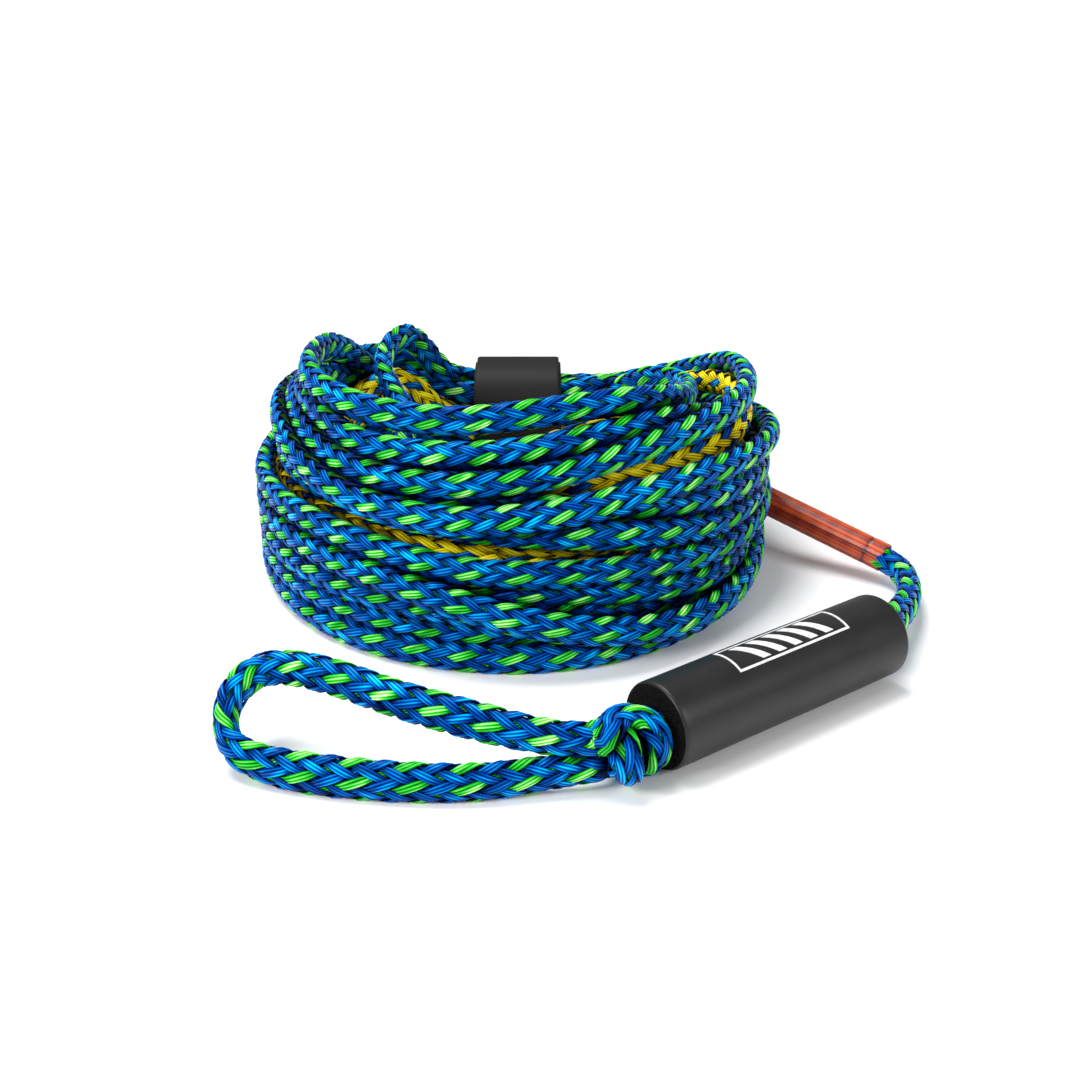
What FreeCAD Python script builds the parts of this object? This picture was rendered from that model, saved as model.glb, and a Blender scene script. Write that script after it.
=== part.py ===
import FreeCAD, Part
import math
import os

# A rope for towing an inflatable tube behind a boat, stored as a coil.
# The working end leaves the coil through a heat-shrink sleeve, runs through a foam
# float and ends in a knot and a soft loop. The boat's end is a yellow length with an
# eye, wound inside the coil. A webbing strap holds the bundle at the back.
# Millimetres. +Z up, +X to the right, +Y away from the front. The whole part stands
# on Z = 0, and the origin is under the middle of its box.

Vector = FreeCAD.Vector

# Rope
ROPE_R = 8.0
TAIL_R = 3.6

# Float
FLOAT_R = 25.4
FLOAT_LENGTH = 177.8
FLOAT_BORE_R = 10.5
FLOAT_EDGE = 2.0
FLOAT_HEADING = 38.0
FLOAT_FRONT = Vector(33.5, -222.3, FLOAT_R)

# Knot in front of the float
KNOT_R = 21.8
KNOT_SHOULDER_R = 9.0
KNOT_HALF = 19.0
KNOT_GAP = 0.6

# Heat-shrink sleeve over the splice
SLEEVE_R = 10.0
SLEEVE_LENGTH = 120.0
SLEEVE_FRONT = Vector(205.0, 19.0, 16.0)
SLEEVE_RUN = Vector(-0.797, 0.559, 0.226)

# Coil: the middle of the ring, and what its wall measures at some angles round it
# (0 is right, 90 is the tied bundle at the back, 180 is left, 270 is the front).
RING_X = -45.0
RING_Y = 72.0
# angle, outer radius at the foot, outer radius at the top, thickness, foot, top
WALL = [
    (0, 170, 176, 42, -2.5, 136),
    (22, 174, 178, 44, -2.5, 132),
    (44, 183, 178, 52, -2.5, 116),
    (62, 184, 182, 62, 1.6, 98),
    (76, 182.5, 182.5, 66, 2.4, 87),
    (90, 177, 177, 64, 2.4, 87),
    (104, 182.5, 182.5, 66, 2.4, 87),
    (118, 186, 180, 62, 1.6, 116),
    (136, 186, 168, 54, -2.5, 136),
    (158, 184, 160, 46, -2.5, 148),
    (180, 181, 156, 44, -2.5, 154),
    (202, 182, 154, 40, -2.5, 154),
    (225, 186, 152, 40, -2.5, 152),
    (248, 191, 150, 40, -2.5, 153),
    (270, 194, 148, 40, -2.5, 157),
    (292, 192, 150, 40, -2.5, 159),
    (315, 184, 158, 40, -2.5, 154),
    (338, 174, 168, 40, -2.5, 144),
]
SECTION_POLES = 10
SECTION_POWER = 0.72

# Yellow turns, a ring of their own in the inner side of the wall
YELLOW_HALF_DEPTH = 8.0
YELLOW_HALF_HEIGHT = 24.0
POCKET_GAP = 0.4

# Strap round the bundle: webbing, wound once, with a tab that closes over the top
STRAP_WIDTH = 66.0
STRAP_HALF_DEPTH = 33.0
STRAP_HALF_HEIGHT = 42.6
STRAP_CORNER = 24.0
STRAP_GAP = 0.3
STRAP_CLEARANCE = 60.0
STRAP_CENTRE = Vector(RING_X, RING_Y + 145.0, 44.6)
BAND_SKIN = (0.0, 1.6)
LOOP_PATCH_SKIN = (1.6, 2.7)
HOOK_PATCH_SKIN = (3.0, 4.0)
TAB_SKIN = (4.0, 5.6)
TAB_ROOT_SKIN = (1.6, 3.2)
TAB_WIDTH = 63.0
PATCH_WIDTH = 56.0
TAB_FOOT = 63.4
TAB_ROOT_LOW = 37.0
TAB_GAP = 0.4
TAB_END = 68.4
PATCH_END = 72.4
STITCH_ROWS = (41.0, 59.0)
STITCH_COUNT = 9
STITCH_SIZE = Vector(4.6, 0.5, 0.9)

AXIS = Vector(math.cos(math.radians(FLOAT_HEADING)), math.sin(math.radians(FLOAT_HEADING)), 0)
FLOAT_BACK = FLOAT_FRONT + AXIS * FLOAT_LENGTH
KNOT_CENTRE = FLOAT_FRONT - AXIS * (KNOT_HALF + KNOT_GAP) + Vector(0, 0, KNOT_R + 0.3 - FLOAT_R)
SLEEVE_DIRECTION = Vector(SLEEVE_RUN).normalize()
SLEEVE_BACK = SLEEVE_FRONT + SLEEVE_DIRECTION * SLEEVE_LENGTH

# Points that each free stretch of rope goes round, from the knot back to the coil
SPLICED_ROUTE = [
    KNOT_CENTRE + AXIS * 8 + Vector(0, 0, FLOAT_R - KNOT_CENTRE.z),
    FLOAT_BACK + AXIS * 11.3,
    Vector(191.5, -82, 21.5),
    Vector(203, -58, 17),
    Vector(211.5, -33, 14),
    Vector(214.5, -9, 13),
    Vector(212, 11, 14),
    SLEEVE_BACK,
]
LEAD_ROUTE = [
    SLEEVE_BACK,
    Vector(84, 104, 48),
    Vector(60, 128, 50),
    Vector(38, 156, 50),
    Vector(12, 180, 50),
]
LOOP_ROUTE = [
    Vector(8, -242, 31),
    Vector(-11, -245.5, 31),
    Vector(-36, -243.5, 34),
    Vector(-69.5, -235.5, 39),
    Vector(-104, -222, 42),
    Vector(-138, -203, 45),
    Vector(-166, -190, 45),
    Vector(-187, -188, 41),
    Vector(-202, -205, 31),
    Vector(-199, -224, 16),
    Vector(-180, -233, 10),
    Vector(-150, -240, 8.6),
    Vector(-113, -247, 8.6),
    Vector(-78, -250.5, 8.8),
    Vector(-52, -250.5, 10),
    Vector(-31, -248.5, 12),
    Vector(-11, -246, 13.5),
    Vector(8, -241.5, 13.5),
]
EYE_ROUTE = [
    Vector(78, 4, 50),
    Vector(60, -8, 34),
    Vector(38, -10, 20),
    Vector(12, -4, 12),
    Vector(-16, 2, 9),
    Vector(-46, 14, 8.5),
    Vector(-76, 24, 8.5),
    Vector(-104, 42, 8.5),
    Vector(-118, 72, 8.5),
    Vector(-104, 104, 8.5),
    Vector(-72, 112, 8.5),
    Vector(-44, 96, 8.5),
    Vector(-24, 70, 8.5),
    Vector(-6, 42, 9),
    Vector(4, 16, 11),
]


def rounded_path(points, name):
    """Straight runs joined by tangent arcs, each as large as its two runs allow."""
    edges = []
    start = points[0]
    radii = []
    for before, corner, after in zip(points, points[1:], points[2:]):
        back = before - corner
        ahead = after - corner
        turn = math.pi - back.getAngle(ahead)
        cut = 0.45 * min(back.Length, ahead.Length)
        radii.append(cut / math.tan(turn / 2))
        back.normalize()
        ahead.normalize()
        inside = (back + ahead).normalize()
        arc_start = corner + back * cut
        arc_end = corner + ahead * cut
        centre = corner + inside * (radii[-1] / math.cos(turn / 2))
        middle = centre - inside * radii[-1]
        edges.append(Part.LineSegment(start, arc_start).toShape())
        edges.append(Part.Arc(arc_start, middle, arc_end).toShape())
        start = arc_end
    edges.append(Part.LineSegment(start, points[-1]).toShape())
    print(name, "arc radii, mm:", [round(r) for r in radii])
    return Part.Wire(edges)


def tube(path, radius, name):
    """A solid of round section swept along a path, with its volume checked."""
    start = path.Edges[0]
    direction = start.tangentAt(start.FirstParameter)
    profile = Part.Wire(Part.makeCircle(radius, start.valueAt(start.FirstParameter), direction))
    solid = path.makePipeShell([profile], True, False)
    if solid.Volume < 0:
        solid.reverse()
    expected = math.pi * radius**2 * path.Length
    print(name, "length", round(path.Length), "volume ratio", round(solid.Volume / expected, 4))
    return solid


def wall_section(angle, foot_radius, top_radius, thickness, foot, top):
    """Poles of one section of the coil's wall, as points round a leaning rounded box."""
    reach = 1 / (2 / 3 + math.cos(2 * math.pi / SECTION_POLES) / 3)
    ring_reach = 1 / (2 / 3 + math.cos(2 * math.pi / len(WALL)) / 3)
    outward = Vector(math.cos(math.radians(angle)), math.sin(math.radians(angle)), 0)
    poles = []
    for k in range(SECTION_POLES):
        a = 2 * math.pi * k / SECTION_POLES
        across = math.copysign(abs(math.cos(a)) ** SECTION_POWER, math.cos(a)) * reach
        up = math.copysign(abs(math.sin(a)) ** SECTION_POWER, math.sin(a)) * reach
        middle_radius = (foot_radius + top_radius) / 2 - thickness / 2
        lean = (top_radius - foot_radius) / 2 * up
        radius = (middle_radius + lean + across * thickness / 2) * ring_reach
        height = (foot + top) / 2 + up * (top - foot) / 2
        poles.append(Vector(RING_X, RING_Y, height) + outward * radius)
    return poles


def ring_solid(sections):
    """A closed ring through sections of equally many poles, smooth both ways."""
    surface = Part.BSplineSurface()
    around = len(sections)
    across = len(sections[0])
    surface.buildFromPolesMultsKnots(
        sections,
        [1] * (around + 1),
        [1] * (across + 1),
        [float(i) for i in range(around + 1)],
        [float(i) for i in range(across + 1)],
        True,
        True,
        3,
        3,
    )
    solid = Part.Solid(Part.Shell([surface.toShape()]))
    if solid.Volume < 0:
        solid.reverse()
    return solid


def yellow_section(angle, foot_radius, top_radius, thickness, foot, top, grow=0.0):
    """Poles of the yellow ring's section, set in the inner side of the wall."""
    reach = 1 / (2 / 3 + math.cos(2 * math.pi / SECTION_POLES) / 3)
    ring_reach = 1 / (2 / 3 + math.cos(2 * math.pi / len(WALL)) / 3)
    outward = Vector(math.cos(math.radians(angle)), math.sin(math.radians(angle)), 0)
    middle = (foot_radius + top_radius) / 2 - thickness + YELLOW_HALF_DEPTH * 0.9
    poles = []
    for k in range(SECTION_POLES):
        a = 2 * math.pi * k / SECTION_POLES
        height = (foot + top) / 2 + math.sin(a) * reach * (YELLOW_HALF_HEIGHT + grow)
        lean = (top_radius - foot_radius) * (height - (foot + top) / 2) / (top - foot)
        across = math.cos(a) * reach * (YELLOW_HALF_DEPTH + grow)
        poles.append(Vector(RING_X, RING_Y, height) + outward * (middle + lean + across) * ring_reach)
    return poles


def outside_strap():
    """The space beside the bundle that the strap keeps the coil out of."""
    width = STRAP_WIDTH + 2 * STRAP_GAP
    corner = STRAP_CENTRE - Vector(width / 2, STRAP_CLEARANCE, STRAP_CLEARANCE)
    block = Part.makeBox(width, 2 * STRAP_CLEARANCE, 2 * STRAP_CLEARANCE, corner)
    bundle = Part.Face(strap_outline(-STRAP_GAP)).extrude(Vector(width, 0, 0))
    bundle.translate(Vector(-width / 2, 0, 0))
    return block.cut(bundle)


def coil_solids():
    """The blue wall, flat where it stands, and the yellow ring in a pocket inside it."""
    main = ring_solid([wall_section(*row) for row in WALL])
    yellow = ring_solid([yellow_section(*row) for row in WALL])
    pocket = ring_solid([yellow_section(*row, grow=POCKET_GAP) for row in WALL])
    tunnel = Part.makeCylinder(SLEEVE_R + 0.4, SLEEVE_LENGTH, SLEEVE_FRONT, SLEEVE_DIRECTION)
    below = Part.makeBox(1000, 1000, 100, Vector(-500, -500, -100))
    return main.cut(pocket).cut(tunnel).cut(outside_strap()).cut(below), yellow.cut(tunnel)


def turned(profile, base, direction):
    """A solid of revolution from (distance, radius) points, about a line."""
    points = [Vector(r, 0, s) for s, r in profile]
    face = Part.Face(Part.makePolygon(points + points[:1]))
    solid = face.revolve(Vector(0, 0, 0), Vector(0, 0, 1), 360)
    solid.Placement = FreeCAD.Placement(base, FreeCAD.Rotation(Vector(0, 0, 1), direction))
    return solid


def float_body():
    profile = [
        (0, FLOAT_BORE_R),
        (0, FLOAT_R - FLOAT_EDGE),
        (FLOAT_EDGE, FLOAT_R),
        (FLOAT_LENGTH - FLOAT_EDGE, FLOAT_R),
        (FLOAT_LENGTH, FLOAT_R - FLOAT_EDGE),
        (FLOAT_LENGTH, FLOAT_BORE_R),
    ]
    return turned(profile, FLOAT_FRONT, AXIS)


def knot_body():
    """A barrel with round shoulders, along the float's axis."""
    end_radius = KNOT_R - KNOT_SHOULDER_R
    straight = KNOT_HALF - KNOT_SHOULDER_R
    diagonal = KNOT_SHOULDER_R * math.sqrt(0.5)
    shoulders = [
        Part.Arc(
            Vector(end_radius, 0, way * KNOT_HALF),
            Vector(end_radius + diagonal, 0, way * (straight + diagonal)),
            Vector(KNOT_R, 0, way * straight),
        ).toShape()
        for way in (-1, 1)
    ]
    side = Part.makeLine(Vector(KNOT_R, 0, -straight), Vector(KNOT_R, 0, straight))
    top = Part.makeLine(Vector(end_radius, 0, KNOT_HALF), Vector(0, 0, KNOT_HALF))
    axis = Part.makeLine(Vector(0, 0, KNOT_HALF), Vector(0, 0, -KNOT_HALF))
    foot = Part.makeLine(Vector(0, 0, -KNOT_HALF), Vector(end_radius, 0, -KNOT_HALF))
    outline = Part.Wire([shoulders[0], side, shoulders[1], top, axis, foot])
    solid = Part.Face(outline).revolve(Vector(0, 0, 0), Vector(0, 0, 1), 360)
    solid.Placement = FreeCAD.Placement(KNOT_CENTRE, FreeCAD.Rotation(Vector(0, 0, 1), AXIS))
    return solid


def sleeve_body():
    outer = Part.makeCylinder(SLEEVE_R, SLEEVE_LENGTH, SLEEVE_FRONT, SLEEVE_DIRECTION)
    inner = Part.makeCylinder(ROPE_R, SLEEVE_LENGTH, SLEEVE_FRONT, SLEEVE_DIRECTION)
    return outer.cut(inner)


def strap_outline(offset):
    """The strap's rounded rectangle, in the plane across the bundle, grown by offset."""
    depth = STRAP_HALF_DEPTH + offset
    height = STRAP_HALF_HEIGHT + offset
    corner = STRAP_CORNER + offset
    edges = []
    corners = [(1, 1), (-1, 1), (-1, -1), (1, -1)]
    for quarter, (side, level) in enumerate(corners):
        centre = STRAP_CENTRE + Vector(0, side * (depth - corner), level * (height - corner))
        arc = [
            centre + Vector(0, math.cos(a), math.sin(a)) * corner
            for a in (math.pi / 2 * (quarter + k / 2) for k in range(3))
        ]
        if edges:
            edges.append(Part.LineSegment(last, arc[0]).toShape())
        else:
            first = arc[0]
        edges.append(Part.Arc(*arc).toShape())
        last = arc[2]
    edges.append(Part.LineSegment(last, first).toShape())
    return Part.Wire(edges)


def strap_layer(skin, width, keep=None):
    """A layer of the strap between two offsets, cut to the box that keep gives."""
    inner, outer = skin
    start = Vector(-width / 2, 0, 0)
    run = Vector(width, 0, 0)
    outside = Part.Face(strap_outline(outer)).extrude(run)
    layer = outside.cut(Part.Face(strap_outline(inner)).extrude(run))
    layer.translate(start)
    if keep is None:
        return layer
    (y_low, z_low), (y_high, z_high) = keep
    corner = Vector(STRAP_CENTRE.x - width, y_low, z_low)
    return layer.common(Part.makeBox(2 * width, y_high - y_low, z_high - z_low, corner))


def joined(first, second):
    return first.fuse(second).removeSplitter()


def strap_shapes():
    """The band, the tab that closes over the top of it, its patches and its stitching."""
    middle = STRAP_CENTRE.y
    reach = STRAP_HALF_DEPTH + 20
    ceiling = STRAP_CENTRE.z + STRAP_HALF_HEIGHT + 20
    front_half = ((middle - reach, TAB_END), (middle, ceiling))
    back_half = ((middle, TAB_FOOT), (middle + reach, ceiling))
    patch = ((middle - reach, PATCH_END), (middle + STRAP_HALF_DEPTH - STRAP_CORNER, ceiling))
    root = ((middle, TAB_ROOT_LOW), (middle + reach, TAB_FOOT - TAB_GAP))
    stitch_y = middle + STRAP_HALF_DEPTH + TAB_ROOT_SKIN[1]
    pitch = TAB_WIDTH / STITCH_COUNT
    stitches = [
        Part.makeBox(
            STITCH_SIZE.x,
            STITCH_SIZE.y,
            STITCH_SIZE.z,
            Vector(RING_X + (k - (STITCH_COUNT - 1) / 2) * pitch - STITCH_SIZE.x / 2, stitch_y, z),
        )
        for z in STITCH_ROWS
        for k in range(STITCH_COUNT)
    ]
    return {
        "strap_band": strap_layer(BAND_SKIN, STRAP_WIDTH),
        "strap_tab": joined(
            strap_layer(TAB_SKIN, TAB_WIDTH, front_half), strap_layer(TAB_SKIN, TAB_WIDTH, back_half)
        ),
        "strap_tab_root": strap_layer(TAB_ROOT_SKIN, TAB_WIDTH, root),
        "loop_patch": strap_layer(LOOP_PATCH_SKIN, PATCH_WIDTH, patch),
        "hook_patch": strap_layer(HOOK_PATCH_SKIN, PATCH_WIDTH, patch),
        "strap_stitching": Part.Compound(stitches),
    }


def rope_shapes():
    """The stretches of rope that lie free, with the tail buried in the spliced one."""
    spliced_path = rounded_path(SPLICED_ROUTE, "spliced_rope")
    tail = tube(spliced_path, TAIL_R, "buried_tail")
    return {
        "spliced_rope": tube(spliced_path, ROPE_R, "spliced_rope").cut(tail),
        "buried_tail": tail,
        "lead_rope": tube(rounded_path(LEAD_ROUTE, "lead_rope"), ROPE_R, "lead_rope"),
        "tow_loop": tube(rounded_path(LOOP_ROUTE, "tow_loop"), ROPE_R, "tow_loop"),
        "boat_end_eye": tube(rounded_path(EYE_ROUTE, "boat_end_eye"), ROPE_R, "boat_end_eye"),
    }


def main():
    os.makedirs("parts", exist_ok=True)
    coil, yellow = coil_solids()
    shapes = {
        "main_rope_coil": coil,
        "boat_rope_coil": yellow,
        "foam_float": float_body(),
        "loop_knot": knot_body(),
        "splice_sleeve": sleeve_body(),
        **rope_shapes(),
        **strap_shapes(),
    }
    whole = FreeCAD.BoundBox()
    for name, shape in shapes.items():
        shape.exportStep(f"parts/{name}.step")
        box = shape.optimalBoundingBox(False)
        whole.add(box)
        print(name, shape.isValid(), "volume", round(shape.Volume), "solids", len(shape.Solids))
    print("low ", round(whole.XMin, 2), round(whole.YMin, 2), round(whole.ZMin, 2))
    print("high", round(whole.XMax, 2), round(whole.YMax, 2), round(whole.ZMax, 2))


main()
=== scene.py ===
import math

import bpy
import numpy as np
from mathutils import Matrix, Vector


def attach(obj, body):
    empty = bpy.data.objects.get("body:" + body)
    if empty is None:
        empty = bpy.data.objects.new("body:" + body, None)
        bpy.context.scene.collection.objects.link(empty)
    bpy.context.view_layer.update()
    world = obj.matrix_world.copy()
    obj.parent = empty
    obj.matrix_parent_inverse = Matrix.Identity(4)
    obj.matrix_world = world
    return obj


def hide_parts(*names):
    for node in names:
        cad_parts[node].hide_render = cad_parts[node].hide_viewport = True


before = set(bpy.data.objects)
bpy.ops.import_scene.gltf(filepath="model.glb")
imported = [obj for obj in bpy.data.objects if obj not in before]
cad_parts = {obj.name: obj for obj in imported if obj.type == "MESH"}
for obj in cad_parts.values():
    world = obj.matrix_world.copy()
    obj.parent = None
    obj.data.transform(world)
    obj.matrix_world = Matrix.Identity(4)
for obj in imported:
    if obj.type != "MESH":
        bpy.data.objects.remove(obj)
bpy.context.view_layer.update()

# A tow rope for an inflatable tube: coil, sleeve, float, knot and loop.
# Lengths are in millimetres until mesh_object() or the spline in centreline() turns them into metres.
MM = 0.001

# Sizes and places shared with the CAD model
FLOAT_R = 25.4
FLOAT_LENGTH = 177.8
FLOAT_BORE_R = 10.5
FLOAT_HEADING = math.radians(38.0)
FLOAT_FRONT = np.array([33.5, -222.3, FLOAT_R])
FLOAT_AXIS = np.array([math.cos(FLOAT_HEADING), math.sin(FLOAT_HEADING), 0.0])
FLOAT_BACK = FLOAT_FRONT + FLOAT_AXIS * FLOAT_LENGTH
KNOT_CENTRE = FLOAT_FRONT - FLOAT_AXIS * 19.6 + np.array([0, 0, 22.1 - FLOAT_R])
# The printed panel: from and to along the float, and across it from its top line
PRINT_FROM = 50.0
PRINT_TO = 137.0
PRINT_ARC = (-9.5, 13.5)
PRINT_LINE = 1.5
PRINT_BARS = 5
SLEEVE_R = 10.0
SLEEVE_LENGTH = 120.0
SLEEVE_FRONT = np.array([205.0, 19.0, 16.0])
SLEEVE_AXIS = np.array([-0.797, 0.559, 0.226]) / np.linalg.norm([-0.797, 0.559, 0.226])
SLEEVE_BACK = SLEEVE_FRONT + SLEEVE_AXIS * SLEEVE_LENGTH
RING = np.array([-45.0, 72.0])
STRAP_CENTRE = np.array([-45.0, 217.0, 44.6])
STRAP_HALF_DEPTH = 33.0
STRAP_HALF_HEIGHT = 42.6
STRAP_CORNER = 24.0

# The coil's outer radius at some angles round it, at the foot, half way up and at the
# top (0 is right, 90 is the tied bundle at the back, 180 is left, 270 is the front)
WALL_HEIGHTS = (10, 85, 150)
WALL = np.array([
    (0, 168, 179, 172),
    (22, 174, 180, 176),
    (44, 182, 182, 176),
    (62, 184, 184, 182),
    (90, 177, 177, 177),
    (118, 186, 186, 182),
    (136, 186, 184, 165),
    (158, 182, 182, 158),
    (180, 179, 180, 152),
    (202, 179, 180, 150),
    (225, 185, 179, 148),
    (248, 191, 180, 146),
    (270, 194, 181, 144),
    (292, 192, 180, 146),
    (315, 185, 178, 155),
    (338, 173, 179, 166),
], float)

# Rope
ROPE_GAP = 13.4
ROPE_FLOOR = 9.6
STRANDS = 8
LAY = 118.0
STEP = 2.7

# The coil's turns, from the lead inwards. Each is a list of angle, height, and how far
# in from the wall's face it lies. Each begins after the tied bundle and ends before it.
BLUE_TURNS = [
    [(150, 46, 16), (230, 48, 16), (290, 46, 16), (345, 46, 16), (395, 46, 18)],
    [(150, 26, 16), (230, 28, 16), (290, 26, 15), (345, 26, 15), (395, 28, 15)],
    [(150, 10, 0), (230, 9, 0), (290, 9, 0), (345, 9, 0), (395, 9, 0)],
    [(150, 23, 1), (230, 23, 0), (262, 22, 2), (290, 20, 8), (315, 17, 15), (345, 12, 15), (395, 12, 15)],
    [(150, 37, 0), (195, 38, 0), (230, 37, 0), (262, 35, 2), (290, 31, 3), (315, 27, 10), (345, 24, 15), (395, 28, 15)],
    [(150, 48, 14), (195, 50, 14), (230, 52, 14), (262, 48, 9), (290, 42, 3), (315, 33, 0), (345, 34, 1), (395, 36, 3)],
    [(150, 54, 0), (195, 54, 0), (230, 54, -1), (250, 51, -5), (269, 38, -10), (290, 22, -10), (312, 16, -6),
     (345, 21, 0), (395, 23, 0)],
    [(150, 70, 2), (195, 71, 0), (230, 72, -1), (262, 62, -3), (290, 59, -2), (315, 50, 0), (345, 47, 0), (395, 52, 0)],
    [(150, 86, 15), (195, 88, 16), (230, 88, 16), (262, 85, 10), (290, 80, 3), (315, 66, 0), (345, 61, 0),
     (395, 62, 2)],
    [(150, 99, 16), (195, 101, 17), (230, 100, 16), (262, 99, 13), (290, 94, 8), (315, 84, 2), (345, 77, 0),
     (395, 70, 4)],
    [(150, 103, 10), (195, 111, 7), (214, 103, 3), (230, 96, -1), (256, 90, -3), (285, 98, -3), (307, 104, -3),
     (345, 98, -3), (372, 84, 0), (395, 72, 0)],
    [(150, 104, 14), (195, 120, 12), (221, 113, 4), (235, 108, 0), (262, 111, 0), (285, 119, 0), (300, 128, 0),
     (320, 130, 5), (332, 130, 9), (345, 126, 12), (358, 124, 12), (370, 122, 11), (382, 116, 11), (391, 103, 9),
     (400, 89, 7), (412, 80, 6)],
    [(130, 84, 18), (150, 108, 20), (185, 130, 12), (215, 134, 3), (230, 123, 2), (257, 124, 1), (286, 131, 1),
     (307, 136, 0), (325, 127, 10), (345, 110, 22), (380, 92, 26), (405, 82, 26)],
    [(122, 80, 22), (140, 98, 22), (145, 114, 22), (150, 126, 18), (160, 135, 17), (170, 139, 14), (180, 141, 12),
     (209, 142, 2), (232, 141, 1), (256, 142, 1), (273, 147, 1), (290, 151, 0), (306, 150, 4), (322, 138, 26),
     (340, 124, 49), (360, 116, 52), (375, 109, 46), (390, 103, 42), (405, 96, 42), (424, 84, 34)],
    [(98, 82, 30), (108, 94, 32), (118, 118, 44), (125, 126, 36), (134, 128, 40), (142, 125, 46), (150, 121, 55),
     (158, 119, 63), (168, 115, 74), (180, 110, 86), (200, 105, 92), (225, 92, 70), (262, 78, 24)],
]
YELLOW_TURNS = [
    [(150, 72, 22), (180, 78, 22), (205, 79, 24), (222, 76, 28), (246, 71, 26), (260, 68, 20), (290, 67, 19), (315, 74, 15), (345, 82, 16), (395, 76, 26), (432, 70, 34)],
    [(116, 90, 44), (126, 97, 48), (140, 97, 46), (150, 86, 44), (165, 78, 38), (195, 82, 33), (230, 102, 24), (262, 103, 24), (290, 103, 24), (315, 104, 20),
     (336, 107, 15), (360, 112, 20), (378, 106, 22), (392, 92, 22), (404, 80, 24)],
    [(116, 84, 46), (140, 84, 46), (165, 84, 44), (195, 84, 44), (230, 86, 42), (258, 94, 36), (280, 127, 16),
     (295, 132, 14), (308, 128, 16), (330, 108, 30), (395, 82, 36)],
    [(150, 70, 15), (195, 70, 14), (235, 71, 14), (262, 66, 22), (290, 57, 29), (320, 46, 33)],
]
BLUE_TURN_COUNT = 14.5
YELLOW_TURN_COUNT = 3.15
COIL_START = 66.0
POINTS_PER_TURN = 90
POINTS_PER_CONTROL = 3

LEAD_ROUTE = [(84, 104, 48), (60, 128, 50), (38, 156, 50), (12, 180, 50)]
BEND_ROUTE = [
    (212, 11, 14),
    (214.5, -9, 13),
    (211.5, -33, 14),
    (203, -58, 17),
    (191.5, -82, 21.5),
]
LOOP_ROUTE = [
    (-11, -246, 13.5),
    (-31, -248.5, 12),
    (-52, -253.5, 11.2),
    (-78, -255.5, 11),
    (-113, -253, 11),
    (-150, -246, 11),
    (-178, -237, 12),
    (-196, -226, 17),
    (-199, -206, 31),
    (-187, -188, 41),
    (-166, -190, 45),
    (-138, -203, 45),
    (-104, -222, 42),
    (-69.5, -235.5, 39),
    (-36, -243.5, 34),
    (-11, -245.5, 31),
]
EYE_ROUTE = [
    (59, -4, 32),
    (57, 13, 26),
    (43, 25, 20),
    (20, 25, 14),
    (-10, 17, 10.5),
    (-46, 16, 9.8),
    (-76, 24, 9.6),
    (-104, 42, 9.6),
    (-118, 72, 9.6),
    (-104, 104, 9.6),
    (-72, 112, 9.6),
    (-44, 96, 9.6),
    (-24, 70, 9.6),
    (-6, 42, 9.8),
    (4, 22, 11),
]
# The knot's wraps: along the float's axis, angle round it from the top towards the
# front, distance from it
KNOT_WRAPS = [
    (-20, 20, 15.5),
    (-9, -5, 17),
    (3, 5, 17.5),
    (10, 45, 17),
    (11, 95, 15.5),
    (9, 145, 14),
    (4, 200, 13),
    (-3, 260, 12.5),
    (-8, 320, 11),
    (-10, 385, 10),
    (-12, 435, 14),
    (-12, 485, 15.5),
    (-6, 540, 11),
    (8, 580, 4),
    (18, 580, 0.5),
]


# ---------------------------------------------------------------- helpers


def rotation_about(axis, angle, vectors):
    """vectors turned about unit axes by angle, row by row."""
    c = np.cos(angle)[:, None]
    s = np.sin(angle)[:, None]
    along = (axis * vectors).sum(1)[:, None]
    return vectors * c + np.cross(axis, vectors) * s + axis * along * (1 - c)


def unit(v):
    return v / np.maximum(np.linalg.norm(v, axis=-1, keepdims=True), 1e-9)


def smooth(x, low, high):
    t = np.clip((x - low) / (high - low), 0, 1)
    return t * t * (3 - 2 * t)


def wander(s, length, seed):
    """Smooth aimless variation from -1 to 1 along s, with about the given wavelength."""
    total = np.zeros_like(s)
    for k, share in enumerate((0.5, 0.3, 0.2)):
        total += share * np.sin(2 * math.pi * s / length * (1 + 0.73 * k) + 2.4 * seed + 1.7 * k)
    return total


def mesh_object(name, vertices, faces, materials, face_material=None, smooth_faces=True):
    """A mesh from vertices in millimetres and equal-sided faces."""
    mesh = bpy.data.meshes.new(name)
    vertices = np.asarray(vertices, np.float32) * MM
    faces = np.asarray(faces, np.int32)
    sides = faces.shape[1]
    mesh.vertices.add(len(vertices))
    mesh.vertices.foreach_set("co", vertices.ravel())
    mesh.loops.add(faces.size)
    mesh.loops.foreach_set("vertex_index", faces.ravel())
    mesh.polygons.add(len(faces))
    mesh.polygons.foreach_set("loop_start", np.arange(len(faces), dtype=np.int32) * sides)
    mesh.polygons.foreach_set("loop_total", np.full(len(faces), sides, np.int32))
    for material in materials:
        mesh.materials.append(material)
    if face_material is not None:
        mesh.polygons.foreach_set("material_index", np.asarray(face_material, np.int32))
    mesh.polygons.foreach_set("use_smooth", np.full(len(faces), smooth_faces))
    mesh.update(calc_edges=True)
    piece = bpy.data.objects.new(name, mesh)
    bpy.context.scene.collection.objects.link(piece)
    return piece


def tube_faces(rings, sides, first=0):
    """Quads between rings of equally many points."""
    r = np.arange(rings - 1)[:, None] * sides
    k = np.arange(sides)[None, :]
    nxt = (k + 1) % sides
    quads = np.stack([r + k, r + nxt, r + sides + nxt, r + sides + k], -1)
    return quads.reshape(-1, 4) + first


# ---------------------------------------------------------------- materials


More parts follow.
